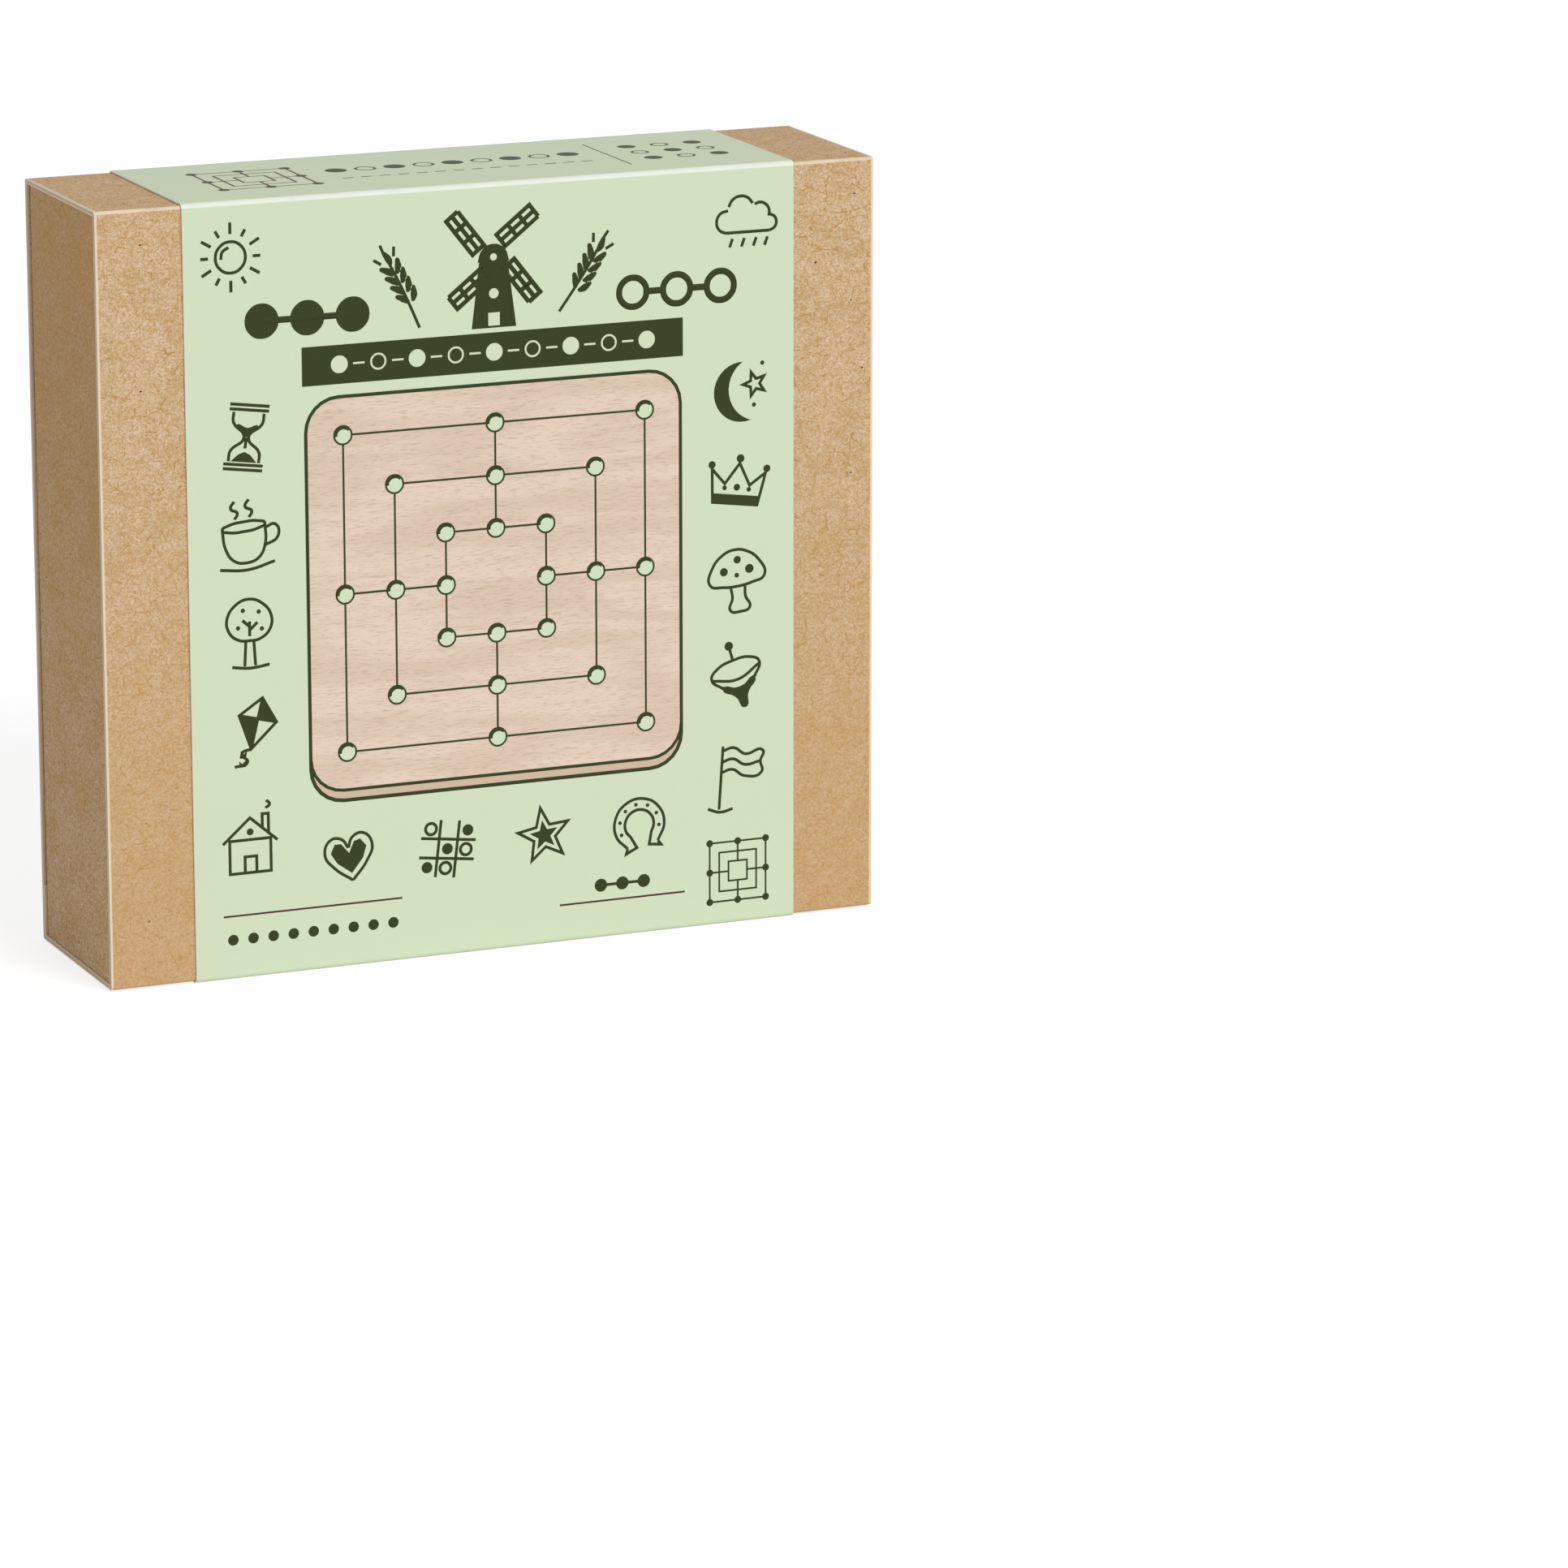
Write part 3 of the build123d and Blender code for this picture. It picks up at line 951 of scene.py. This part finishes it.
# ---- small drawings, each about 20 wide round its own middle: lines, then filled shapes ----
def draw_windmill():
    """The third list holds the mill's door and windows, which are left open."""
    lines = [shape((-4.2, -10), (-2.6, 2.6), (2.6, 2.6), (4.2, -10)),
             arc((0, 2.6), 2.9, 0, 180, 1.1),
             straight((-1.2, -10), (-1.2, -7.2), (1.2, -7.2), (1.2, -10)),
             arc((0, -2.6), 0.9)]
    sail = [straight((0, 0), (12, 0)), straight((3.2, 0), (3.2, 3), (12, 3), (12, 0)),
            straight((6.2, 0), (6.2, 3)), straight((9.1, 0), (9.1, 3)), straight((3.2, 1.5), (12, 1.5))]
    for angle in (38, 128, 218, 308):
        lines += placed(sail, (0, 3.6), 1.0, angle)
    dome = round_points((0, 2.6), 2.9, range(180, -1, -15), 1.1)
    tower = shape((-4.2, -10), *dome, (4.2, -10))
    return lines, [tower], [bar(-1.2, -10, 1.2, -7.4), arc((0, -3.6), 1.0), arc((0, 3.6), 0.7)]


def draw_sun():
    inner, short, long = (round_points((0, 0), reach, range(0, 360, 30)) for reach in (6.4, 8.6, 9.6))
    rays = [straight(inner[i], long[i] if i % 2 else short[i]) for i in range(12)]
    return [arc((0, 0), 4.3), arc((0, 0), 2.8, 100, 190), *rays], []


def draw_moon():
    outside = round_points((1.5, 0), 8.2, range(80, 281, 10))
    inside = round_points((6.5, 0), 8.84, range(240, 119, -10))
    star = placed(draw_star()[0], (5.4, 1.4), 0.42, 10)
    return star, [shape(*outside, *inside), arc((4.4, -4.2), 0.6), arc((8.4, 6.6), 0.6)]


def draw_star():
    tips, dents = (round_points((0, 0), reach, range(90, -270, -36)) for reach in (8, 3.4))
    outline = shape(*((dents if i % 2 else tips)[i] for i in range(10)))
    return [outline], placed([outline], size=0.56)


def draw_cloud():
    bumps = [arc((-5.6, -1.4), 3.2, 265, 85), arc((-1.4, 1.8), 3.9, 165, 25), arc((4.2, 0.6), 3.0, 120, -20),
             arc((7.0, -2.2), 2.3, 80, -85), straight((-5.9, -4.5), (7.2, -4.5))]
    rain = [straight((x, -6.2), (x - 0.9, -8.6)) for x in (-4, -0.4, 3.2, 6.6)]
    return bumps + rain, []


def draw_hourglass():
    glass = [curve((side * 4.6, 7.2), (side * 4.4, 4.2), (side * 0.7, 0), (side * 4.4, -4.2),
                   (side * 4.6, -7.2)) for side in (-1, 1)]
    frames = [straight((-6, up), (6, up)) for up in (8, -8, 9.4, -9.4)]
    sand = [loop(*mirrored((0, 2.8), (3.4, 3.4), (1.4, 1), (0, 0.1))),
            shape(*mirrored((0, -4.2), (1.8, -5), (4, -7.2)))]
    return [*glass, *frames, straight((0, 0), (0, -3.2))], sand


def draw_cup():
    body = [arc((-1, 2.6), 6.2, squash=0.22),
            curve((-7.2, 2.6), (-6.8, -2.8), (-4.6, -6.6), (-1, -7.6), (2.6, -6.6), (4.8, -2.8), (5.2, 2.6)),
            curve((5.1, 1.4), (8.2, 1.8), (8.6, -1.6), (4.4, -3.6)),
            curve((-9, -8.4), (-1, -9.6), (7, -8.4))]
    steam = [curve((x, 5), (x + 1, 6.6), (x - 0.8, 8.2), (x + 0.4, 10)) for x in (-3.4, 0.8)]
    return body + steam, []


def draw_crown():
    lines = [shape(*mirrored((0, 6.4), (3.9, 0.2), (8.4, 4.2), (7, -5.4))),
             straight((-7.2, -3.2), (7.2, -3.2))]
    beads = [arc((-8.6, 5.4), 1.1), arc((0, 7.8), 1.2), arc((8.6, 5.4), 1.1),
             arc((0, -0.6), 1.0), arc((-3.8, -1), 0.7), arc((3.8, -1), 0.7)]
    return lines, [bar(-7.1, -5.4, 7.1, -3.2), *beads]


def draw_tree():
    crown = loop((0, 9), (3.6, 7.6), (6, 4.4), (5.8, 0.8), (3, -1.8), (0, -2.2), (-3.2, -1.8), (-5.8, 0.6),
                 (-6.2, 4.2), (-3.6, 7.8))
    trunk = [straight((-1.1, -2), (-1.5, -9)), straight((1.1, -2), (1.5, -9)),
             curve((-5, -9), (0, -9.6), (5.4, -9)), straight((0, -1), (0, 3)),
             straight((0, 0.6), (2.2, 2.6)), straight((0, 1.6), (-2, 3.4))]
    leaves = [arc(place, 0.6) for place in ((-3.2, 1.4), (2.6, 5.4), (3.4, 0.8), (-1.8, 6))]
    return [crown, *trunk], leaves


def draw_kite():
    lines = [shape((1, 10), (6.6, 4), (1, -4.6), (-4.6, 4)), straight((1, 10), (1, -4.6)),
             straight((-4.6, 4), (6.6, 4)), curve((1, -4.6), (-1.4, -6.4), (0.8, -8.4), (-2.6, -10.4))]
    quarters = [shape((1, 10), (6.6, 4), (1, 4)), shape((1, 4), (1, -4.6), (-4.6, 4))]
    bows = [shape((-1.9, -5.6), (0.1, -7.4), (-0.1, -5.2), (-1.7, -7.8)),
            shape((-1.7, -8.6), (0.6, -9.8), (0.2, -7.8), (-1.2, -10.2))]
    return lines, quarters + bows


def draw_mushroom():
    cap = loop(*mirrored((0, 8.8), (3.4, 8), (7.2, 4.6), (8.4, 0), (4.4, -1.4), (0, -1.8)))
    stem = curve(*mirrored((-2.2, -1.8), (-2, -5), (-3, -8.4), (0, -9.2)))
    return [cap, stem], [arc((-3.8, 3), 1.2), arc((0.6, 5.8), 1.1), arc((4, 2.6), 1.3), arc((0, 1.4), 0.7)]


def draw_spinning_top():
    body = mirrored((0, 5.2), (5.2, 4.4), (7.6, 2.2), (5.2, -1.4), (1.4, -5.6), (0, -8.8))
    bands = [curve((-7.4, 1.6), (0, -0.6), (7.4, 1.6)), curve((-5.6, -1.2), (0, -3.2), (5.6, -1.2)),
             straight((0, 5.2), (0, 9.4))]
    tip = mirrored((0, -3.2), (5, -1.7), (1.4, -5.6), (0, -8.8))
    return [loop(*body), *bands], [loop(*tip), arc((0, 9.6), 1.3)]


def draw_horseshoe():
    lines = [arc((0, 1), 7.6, -52, 232), arc((0, 1), 4.4, -46, 226)]
    lines += [straight((side * 4.7, -5), (side * 5.4, -6.4), (side * 1.9, -5.4), (side * 3.1, -2.2))
              for side in (1, -1)]
    return lines, [arc(nail, 0.55) for nail in round_points((0, 1), 6, range(195, -16, -35))]


def draw_heart():
    halves = [curve((0, -7.4), (side * 5.2, -2.4), (side * 7.4, 2), (side * 5.2, 6), (side * 1.8, 5.6),
                    (0, 2.6)) for side in (-1, 1)]
    inner = mirrored((0, -5.2), (4, -1.4), (5.6, 2), (4, 4.5), (2, 4.2), (0, 1))
    return halves, [shape(*inner)]


def draw_corner_game():
    """Three rows of three with some places taken."""
    lines = [straight((x, -8.6), (x, 8.6)) for x in (-2.9, 2.9)]
    lines += [straight((-8.6, y), (8.6, y)) for y in (2.9, -2.9)]
    rings = [arc(place, 1.7) for place in ((-5.8, 5.8), (5.8, 0), (0, -5.8))]
    return lines + rings, [arc(place, 1.7) for place in ((0, 0), (5.8, 5.8), (-5.8, -5.8))]


def draw_flag():
    cloth = curve((-5.4, 9), (-2, 10), (2, 8), (7.6, 9), (7, 5.8), (7.6, 2.4), (2, 1.4), (-2, 3.4),
                  (-5.4, 2.4))
    return [cloth, straight((-5.4, 10.4), (-5.4, -8.8)), curve((-9, -8.6), (-5, -9.6), (-1, -8.6)),
            curve((-5.4, 5.6), (-2, 6.6), (2, 4.8), (7, 5.8))], []


def draw_house():
    lines = [shape((-6, -8), (-6, 1.4), (6, 1.4), (6, -8)),
             straight((-8, 0.6), (0, 7.6), (8, 0.6)),
             straight((-1.6, -8), (-1.6, -3.4), (1.8, -3.4), (1.8, -8)),
             straight((3.6, 4.6), (3.6, 8.4), (5.4, 8.4), (5.4, 3)),
             curve((4.6, 10), (5.8, 11), (4.8, 12.2))]
    return lines, [arc((0, 3.6), 1.0)]


def draw_wheat():
    stem = curve((-1.4, -11), (-0.6, -4), (0, 3), (0.2, 8))
    grain = loop((0, 0), (1.2, 1.2), (1.1, 3), (0, 4.4), (-0.5, 2.6), (-0.4, 1))
    grains = placed([grain], (0.2, 7.6))
    for level in range(4):
        for side in (1, -1):
            grains += placed([grain], (side * 0.5, 4.9 - 2.9 * level), turn=-side * 32)
    beards = [straight((0.2, 11.6), (0.5, 14)), straight((2.2, 9.4), (3.6, 11.6)),
              straight((-1.8, 9.4), (-3, 11.6))]
    return [stem, *beards], grains


def draw_squares(middle, half):
    """A small nine mens morris board: its lines, and a dot at each corner and side of the outer square."""
    x, y = middle
    inner = half * 0.33
    lines = [bar(x - reach, y - reach, x + reach, y + reach) for reach in (half, half * 0.66, inner)]
    lines += [straight((x + across * inner, y + up * inner), (x + across * half, y + up * half))
              for across, up in ((1, 0), (-1, 0), (0, 1), (0, -1))]
    return lines, [arc((x + across * half, y + up * half), half * 0.12) for across, up in compass]


# Each small drawing with its place on the front, its size and its turn.
small_drawings = (
    ("sun", draw_sun, (-84, 223), 1.1, 0), ("cloud", draw_cloud, (83, 224), 1.1, 0),
    ("hourglass", draw_hourglass, (-80, 168), 1.05, -8), ("moon", draw_moon, (80, 169), 1.15, 8),
    ("cup", draw_cup, (-80, 138), 1.1, 5), ("crown", draw_crown, (80, 140), 1.08, -8),
    ("tree", draw_tree, (-80, 108), 1.15, 0), ("mushroom", draw_mushroom, (80, 110), 1.1, 6),
    ("kite", draw_kite, (-80, 77), 1.1, -14), ("spinning_top", draw_spinning_top, (80, 79), 1.1, 16),
    ("house", draw_house, (-81, 42), 1.1, 0), ("heart", draw_heart, (-49, 35), 1.05, 8),
    ("corner_game", draw_corner_game, (-17, 34), 1.05, -7), ("star", draw_star, (15, 35), 1.1, 8),
    ("horseshoe", draw_horseshoe, (47, 34), 1.1, 10), ("flag", draw_flag, (80, 46), 1.05, -4),
)


def lay_drawing(name, lines, fills, *place, **settings):
    lay_print(name, olive, lines=placed(lines, *place), fills=placed(fills, *place), **settings)


# ---- header: a windmill between ears of wheat, two rows of three, and a dark bar ----
mill_place = ((0, 211.6), 1.55)
row_step = 14.5
bar_box = (-62, 182, 62, 194)
bar_middle = 188
bar_first, bar_step = -50, 12.5


def print_header():
    lines, tower, openings = draw_windmill()
    lay_drawing("print_windmill", lines, tower, *mill_place, width=1.3 * MM)
    lay_print("print_windmill_openings", pale_green, fills=placed(openings, *mill_place),
              height=opening_height)
    for side, name in ((-1, "left"), (1, "right")):
        lay_drawing("print_wheat_" + name, *draw_wheat(), (side * 29, 209), 1.15, -side * 30)
    places = [(-row_step, 0), (0, 0), (row_step, 0)]
    lay_drawing("print_row_of_three_men", [straight(places[0], places[2])],
                [arc(place, 5.4) for place in places], (-60, 203), width=2 * MM)
    gaps = [straight((start, 0), (start + 4.5, 0)) for start in (-9.5, 5)]
    lay_drawing("print_row_of_three_rings", [arc(place, 4.5) for place in places] + gaps, [], (60, 203),
                width=2 * MM)
    lay_print("print_bar", olive, fills=[bar(*bar_box)])
    spots = [bar_first + bar_step * count for count in range(9)]
    lay_print("print_bar_men", pale_green, fills=[arc((x, bar_middle), 2.7) for x in spots[::2]],
              height=over_height)
    rings = [arc((x, bar_middle), 2.3) for x in spots[1::2]]
    dashes = [straight((x + 4.4, bar_middle), (x + 8.1, bar_middle)) for x in spots[:-1]]
    lay_print("print_bar_rings", pale_green, lines=rings + dashes, width=0.8 * MM)


# ---- the game drawn in plan: a wood-toned board with its lines and recesses ----
drawn_middle = (0, 117)
drawn_half = 61
drawn_corner = 10.5
drawn_step = 16.4
drawn_lip = 3.2
drawn_recess = 2.7


def drawn_point(square, step):
    across, up = compass[step]
    return drawn_middle[0] + across * square * drawn_step, drawn_middle[1] + up * square * drawn_step


def rounded_square(middle, half, corner):
    """The outline of a square with round corners, as short straight sides."""
    reach = half - corner
    points = []
    for start, across, up in ((0, 1, 1), (90, -1, 1), (180, -1, -1), (270, 1, -1)):
        turn = range(start, start + 91, 15)
        points += round_points((middle[0] + across * reach, middle[1] + up * reach), corner, turn)
    return shape(*points)


def print_drawn_board():
    x, y = drawn_middle
    outline = rounded_square(drawn_middle, drawn_half, drawn_corner)
    lip = rounded_square((x, y - drawn_lip), drawn_half, drawn_corner)
    lay_print("print_board_lip", tan_edge, fills=[lip], height=0.5 * shape_height)
    lay_print("print_board_wood", tan_wood, fills=[outline])
    under = [(across, up - drawn_lip) for across, up in outline["points"] if up < y]
    ends = [(x + side * drawn_half, y - drawn_half + drawn_corner) for side in (-1, 1)]
    lay_print("print_board_outline", olive, lines=[outline, straight(ends[0], *under, ends[1])],
              width=1.25 * MM)
    lines = [shape(*(drawn_point(square, step) for step in corners)) for square in (1, 2, 3)]
    lines += [straight(drawn_point(1, step), drawn_point(3, step)) for step in sides]
    lay_print("print_board_lines", olive, lines=lines, width=0.85 * MM)
    points = [drawn_point(square, step) for square in (1, 2, 3) for step in range(8)]
    lay_print("print_board_recess_floors", pale_green, height=floor_height,
              fills=[arc(point, drawn_recess) for point in points])
    rings = [arc(point, drawn_recess + side) for point in points for side in (0.4, -0.2)]
    lay_print("print_board_recess_rims", olive, fills=rings, height=rim_height)
    shade = round_points((0, 0), 2.6, range(40, 191, 25))
    shade += round_points((0.2, 0), 2, range(190, 39, -25), 0.9)
    crescents = [placed([shape(*shade)], point)[0] for point in points]
    lay_print("print_board_recess_shade", olive, fills=crescents, height=shade_height)


# ---- foot of the front: thin brown rules, a row of nine, a small board and a row of three ----
def print_foot():
    lay_print("print_foot_rules", brown, width=thin_pen,
              lines=[straight((-90, 20), (-32, 20)), straight((20, 12), (62, 12))])
    lay_print("print_foot_men", olive, fills=[arc((-87 + 6.5 * count, 12.5), 1.7) for count in range(9)])
    lay_drawing("print_foot_squares", *draw_squares((80, 17), 9.5), width=thin_pen)
    lay_drawing("print_foot_row", [straight((-9, 0), (9, 0))], [arc((x, 0), 2.6) for x in (-9, 0, 9)],
                (41, 17), 0.8)


# ---- top of the band ----
def print_top():
    lines, dots = draw_squares((-64, 0), 15)
    lay_print("print_top_squares", brown, "top", lines=lines, width=0.8 * MM)
    lay_print("print_top_corners", olive, "top", fills=dots)
    spots = [-36 + 9.5 * count for count in range(9)]
    rings = [arc((x, 5), 3.0) for x in spots[1::2]]
    dashes = [straight((-39 + 6 * count, -9), (-35.5 + 6 * count, -9)) for count in range(14)]
    lay_print("print_top_men", olive, "top", rings + dashes, [arc((x, 5), 3.4) for x in spots[::2]], 0.9 * MM)
    lay_print("print_top_rule", brown, "top", lines=[straight((51, -20), (51, 20))], width=thin_pen)
    grid = [(x, y) for x in (62, 73, 84) for y in (-11, 0, 11)]
    lay_print("print_top_grid", olive, "top", [arc(point, 2.5) for point in grid[1::2]],
              [arc(point, 2.9) for point in grid[::2]], 0.9 * MM)


print_header()
print_drawn_board()
for name, drawing, *place in small_drawings:
    lay_drawing("print_" + name, *drawing(), *place)
print_foot()
print_top()


# ==== floor, light and camera ====
def add_floor():
    deselect()
    bpy.ops.mesh.primitive_plane_add(size=floor_size)
    floor = bpy.context.object
    floor.name = "floor"
    give_material(floor, floor_material())


def add_light():
    """A soft key light from the front right, and a white world that the camera sees at full strength."""
    sun = bpy.data.lights.new("soft key", "SUN")
    sun.energy = key_strength
    sun.angle = key_softness
    lamp = bpy.data.objects.new("soft key", sun)
    lamp.rotation_euler = towards_light.to_track_quat("Z", "Y").to_euler()
    bpy.context.collection.objects.link(lamp)
    world = bpy.data.worlds.new("white studio")
    world.use_nodes = True
    tree = world.node_tree
    background = tree.nodes["Background"].inputs
    background["Color"].default_value = white
    plug(ramp(seen_by_camera(tree), 0.0, 1.0, studio_strength, 1.0), background["Strength"])
    bpy.context.scene.world = world


def add_camera():
    ahead = Vector((sin(view_turn) * cos(view_tilt), cos(view_turn) * cos(view_tilt), -sin(view_tilt)))
    data = bpy.data.cameras.new("camera")
    data.lens = lens_length
    data.sensor_width = sensor_width
    camera = bpy.data.objects.new("camera", data)
    camera.location = view_target - ahead * view_distance
    camera.rotation_euler = ahead.to_track_quat("-Z", "Y").to_euler()
    bpy.context.collection.objects.link(camera)
    bpy.context.scene.camera = camera


add_floor()
add_light()
add_camera()
bpy.context.scene.view_settings.view_transform = "Standard"
